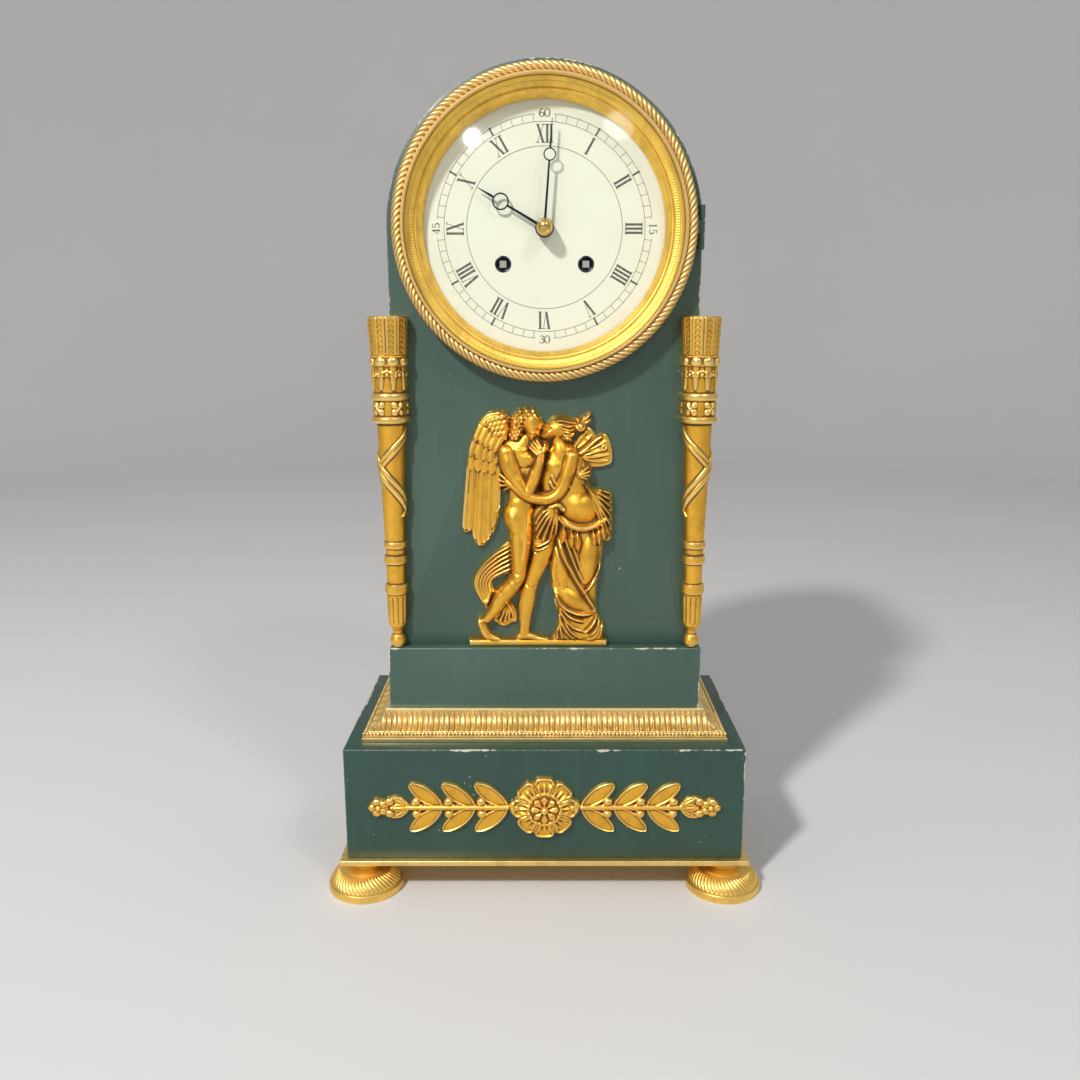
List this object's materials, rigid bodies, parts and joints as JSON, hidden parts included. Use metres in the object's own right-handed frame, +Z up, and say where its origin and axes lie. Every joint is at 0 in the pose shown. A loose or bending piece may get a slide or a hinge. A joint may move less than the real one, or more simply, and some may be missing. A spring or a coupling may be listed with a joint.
{
  "type": "figural mantel clock",
  "caption": "Arched lacquered mantel clock on a plinth with gilt mounts, a hinged glazed bezel over a cream dial, and a striking pendulum movement behind a round rear door.",
  "frame": {"origin": "middle of the ground the feet stand on, under the middle of the object's box", "axes": "+Z up, -Y towards the viewer who reads the dial, +X to that viewer's right"},
  "size_m": [0.2068, 0.1208, 0.374],
  "materials": {
    "gilt": "mercury-gilt brass castings, burnished on the high parts and matt in the recesses",
    "lacquer": "dark green satin lacquer over gesso on wood, worn pale along the edges",
    "raw_wood": "plain oiled wood",
    "glass": "clear domed glass",
    "enamel": "cream vitreous enamel on copper, printed in black",
    "blued_steel": "dark blued steel",
    "movement_brass": "lacquered brass",
    "steel": "polished steel",
    "bell_metal": "turned bell metal"
  },
  "bodies": {
    "case": {"foot_front_left": "gilt", "foot_front_right": "gilt", "foot_rear_left": "gilt", "foot_rear_right": "gilt", "base_plate": "gilt", "plinth": "lacquer", "pedestal_block": "lacquer", "moulding_front": "gilt", "moulding_left": "gilt", "moulding_right": "gilt", "case_shell": "lacquer", "back_board": "raw_wood", "rosette": "gilt", "laurel_spray_left": "gilt", "laurel_spray_right": "gilt", "torch_left": "gilt", "torch_right": "gilt", "figure_mount": "gilt", "dial_ring": "movement_brass", "dial_plate": "enamel", "rear_ring": "movement_brass", "front_plate": "movement_brass", "back_plate": "movement_brass", "strap_left": "movement_brass", "strap_right": "movement_brass", "bell": "bell_metal", "bell_stand": "movement_brass", "suspension_cock": "movement_brass"},
    "bezel_door": {"bezel_ring": "gilt", "glass": "glass", "sight_ring": "gilt"},
    "back_door": {"rear_door": "movement_brass", "rear_door_knob": "movement_brass"},
    "minute_work": {"centre_wheel": "movement_brass", "cannon_pinion": "steel", "minute_hand": "blued_steel", "hand_collet": "movement_brass"},
    "hour_work": {"hour_wheel": "movement_brass", "hour_hand": "blued_steel"},
    "motion_wheel": {"minute_wheel": "movement_brass"},
    "going_drum": {"going_barrel": "movement_brass", "going_mainspring": "steel"},
    "intermediate_arbor": {"intermediate_wheel": "movement_brass"},
    "third_arbor": {"third_wheel": "movement_brass"},
    "escape_arbor": {"escape_wheel": "movement_brass"},
    "going_key_arbor": {"going_winding_arbor": "steel"},
    "strike_drum": {"strike_barrel": "movement_brass", "strike_mainspring": "steel"},
    "strike_key_arbor": {"strike_winding_arbor": "steel"},
    "second_arbor": {"strike_second_wheel": "movement_brass", "count_wheel": "movement_brass"},
    "pin_wheel_arbor": {"pin_wheel": "movement_brass"},
    "warning_arbor": {"warning_wheel": "movement_brass"},
    "fly_arbor": {"fly": "movement_brass"},
    "hammer_arbor": {"strike_hammer": "steel"},
    "pendulum": {"suspension_spring": "steel", "pendulum_rod": "steel", "pendulum_bob": "movement_brass"},
    "rating_screw": {"rating_nut": "movement_brass"},
    "pallet_arbor": {"pallets_and_crutch": "steel"}
  },
  "joints": [
    {"name": "bezel_hinge", "type": "hinge", "parent": "case", "child": "bezel_door", "pos_m": [0.0679, -0.0275, 0.305], "axis": [0, 0, 1], "range_deg": [0, 110]},
    {"name": "back_door_hinge", "type": "hinge", "parent": "case", "child": "back_door", "pos_m": [0.0621, 0.0521, 0.305], "axis": [0, 0, -1], "range_deg": [0, 110]},
    {"name": "minute_turn", "type": "hinge", "parent": "case", "child": "minute_work", "pos_m": [0, 0, 0.305], "axis": [0, 1, 0], "continuous": true},
    {"name": "hour_turn", "type": "hinge", "parent": "case", "child": "hour_work", "pos_m": [0, 0, 0.305], "axis": [0, 1, 0], "continuous": true},
    {"name": "motion_turn", "type": "hinge", "parent": "case", "child": "motion_wheel", "pos_m": [0, 0, 0.293], "axis": [0, 1, 0], "continuous": true},
    {"name": "going_drum_turn", "type": "hinge", "parent": "case", "child": "going_drum", "pos_m": [0.0183, 0, 0.29], "axis": [0, 1, 0], "continuous": true},
    {"name": "intermediate_turn", "type": "hinge", "parent": "case", "child": "intermediate_arbor", "pos_m": [0.01501, 0, 0.30953], "axis": [0, 1, 0], "continuous": true},
    {"name": "third_turn", "type": "hinge", "parent": "case", "child": "third_arbor", "pos_m": [-0.00729, 0, 0.31879], "axis": [0, 1, 0], "continuous": true},
    {"name": "escape_turn", "type": "hinge", "parent": "case", "child": "escape_arbor", "pos_m": [0, 0, 0.33015], "axis": [0, 1, 0], "continuous": true},
    {"name": "going_winding", "type": "hinge", "parent": "case", "child": "going_key_arbor", "pos_m": [0.0183, 0, 0.29], "axis": [0, 1, 0], "continuous": true},
    {"name": "strike_winding", "type": "hinge", "parent": "case", "child": "strike_key_arbor", "pos_m": [-0.0183, 0, 0.29], "axis": [0, 1, 0], "continuous": true},
    {"name": "pin_wheel_turn", "type": "hinge", "parent": "case", "child": "pin_wheel_arbor", "pos_m": [-0.02972, 0, 0.32011], "axis": [0, 1, 0], "continuous": true},
    {"name": "second_turn", "type": "hinge", "parent": "case", "child": "second_arbor", "pos_m": [-0.03103, 0, 0.30517], "axis": [0, 1, 0], "continuous": true},
    {"name": "strike_drum_turn", "type": "hinge", "parent": "case", "child": "strike_drum", "pos_m": [-0.0183, 0, 0.29], "axis": [0, 1, 0], "continuous": true},
    {"name": "warning_turn", "type": "hinge", "parent": "case", "child": "warning_arbor", "pos_m": [-0.02297, 0, 0.32815], "axis": [0, 1, 0], "continuous": true},
    {"name": "fly_turn", "type": "hinge", "parent": "case", "child": "fly_arbor", "pos_m": [-0.02379, 0, 0.33757], "axis": [0, 1, 0], "continuous": true},
    {"name": "hammer_lift", "type": "hinge", "parent": "case", "child": "hammer_arbor", "pos_m": [-0.04132, 0, 0.31634], "axis": [0, 1, 0], "range_deg": [0, 14], "stiffness_Nm_per_rad": 0.002, "springref_deg": -20.05},
    {"name": "pendulum_swing", "type": "hinge", "parent": "case", "child": "pendulum", "pos_m": [0, 0, 0.345], "axis": [0, 1, 0], "range_deg": [-3, 3]},
    {"name": "pallet_rock", "type": "hinge", "parent": "case", "child": "pallet_arbor", "pos_m": [0, 0, 0.345], "axis": [0, 1, 0], "range_deg": [-3, 3]},
    {"name": "rating_turn", "type": "hinge", "parent": "pendulum", "child": "rating_screw", "pos_m": [0, 0.026, 0.198], "axis": [0, 0, 1], "continuous": true}
  ],
  "couplings": [
    {"joint": "hour_turn", "follows": "minute_turn", "ratio": 0.083333},
    {"joint": "motion_turn", "follows": "minute_turn", "ratio": -0.33333},
    {"joint": "going_drum_turn", "follows": "minute_turn", "ratio": 0.033333},
    {"joint": "intermediate_turn", "follows": "minute_turn", "ratio": -0.16667},
    {"joint": "third_turn", "follows": "minute_turn", "ratio": -12},
    {"joint": "escape_turn", "follows": "minute_turn", "ratio": 168},
    {"joint": "second_turn", "follows": "pin_wheel_turn", "ratio": -0.11111},
    {"joint": "strike_drum_turn", "follows": "pin_wheel_turn", "ratio": 0.022222},
    {"joint": "warning_turn", "follows": "pin_wheel_turn", "ratio": -6},
    {"joint": "fly_turn", "follows": "pin_wheel_turn", "ratio": 36},
    {"joint": "pallet_rock", "follows": "pendulum_swing", "ratio": 1}
  ]
}
